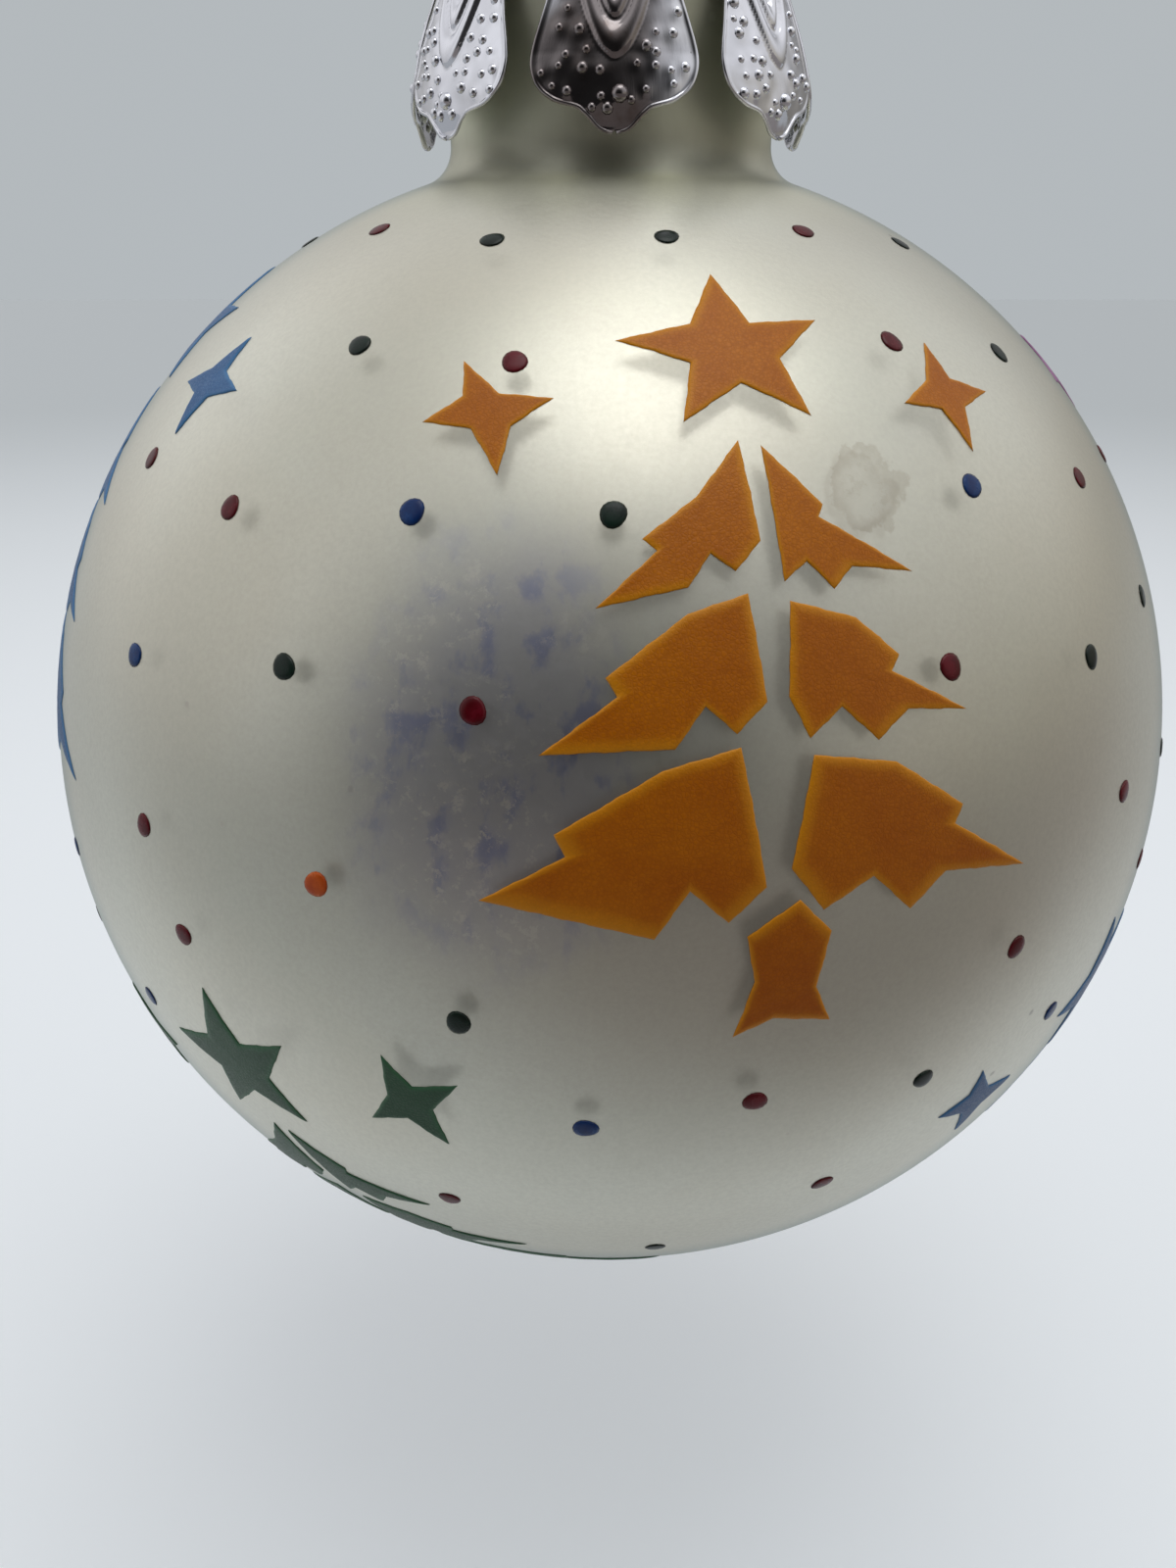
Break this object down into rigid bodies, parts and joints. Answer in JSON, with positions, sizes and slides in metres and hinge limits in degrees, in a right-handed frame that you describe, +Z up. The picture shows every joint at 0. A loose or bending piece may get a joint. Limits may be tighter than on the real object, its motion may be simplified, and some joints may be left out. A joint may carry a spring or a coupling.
{
  "type": "glass christmas ball ornament",
  "caption": "Frosted glass Christmas ball with printed shard trees and dots, a stamped metal crown cap with petals, and a sprung wire hanging loop.",
  "frame": {"origin": "bearing point at the top of the inside of the wire loop, where a hook or thread holds the ornament", "axes": "+Z up along the ball's and neck's axis, -Y the front of the ball, +X to the right seen from the front"},
  "size_m": [0.1, 0.1001, 0.124],
  "materials": {
    "frosted_glass": "thin blown glass with a satin, lightly frosted outer face",
    "pearl_coat": "pearl silver coat on the inside of the glass, seen through it",
    "stamped_tin": "bright stamped tinplate with embossed ridges and beads",
    "spring_wire": "bright drawn spring wire",
    "orange_enamel": "satin printed enamel with a fine leathery grain",
    "green_enamel": "satin printed enamel with a fine leathery grain",
    "blue_enamel": "satin printed enamel with a fine leathery grain",
    "violet_enamel": "satin printed enamel with a fine leathery grain",
    "red_dot_enamel": "glossy drop of enamel",
    "blue_dot_enamel": "glossy drop of enamel",
    "green_dot_enamel": "glossy drop of enamel",
    "orange_dot_enamel": "glossy drop of enamel"
  },
  "bodies": {
    "hanger": {"wire_hanger": "spring_wire"},
    "cap": {"crown_cap": "stamped_tin"},
    "ball": {"glass_ball": "frosted_glass", "pearl_lining": "pearl_coat", "orange_tree_upper": "orange_enamel", "violet_tree_upper": "violet_enamel", "green_tree_upper": "green_enamel", "blue_tree_upper": "blue_enamel", "green_tree_lower": "green_enamel", "blue_tree_lower": "blue_enamel", "orange_tree_lower": "orange_enamel", "violet_tree_lower": "violet_enamel", "red_dots": "red_dot_enamel", "blue_dots": "blue_dot_enamel", "green_dots": "green_dot_enamel", "orange_dots": "orange_dot_enamel"}
  },
  "joints": [
    {"name": "ball_pull_off", "type": "slide", "parent": "hanger", "child": "ball", "axis": [0, 0, -1], "range_m": [0, 0.03]},
    {"name": "cap_lift", "type": "slide", "parent": "hanger", "child": "cap", "axis": [0, 0, 1], "range_m": [0, 0.0045]}
  ]
}
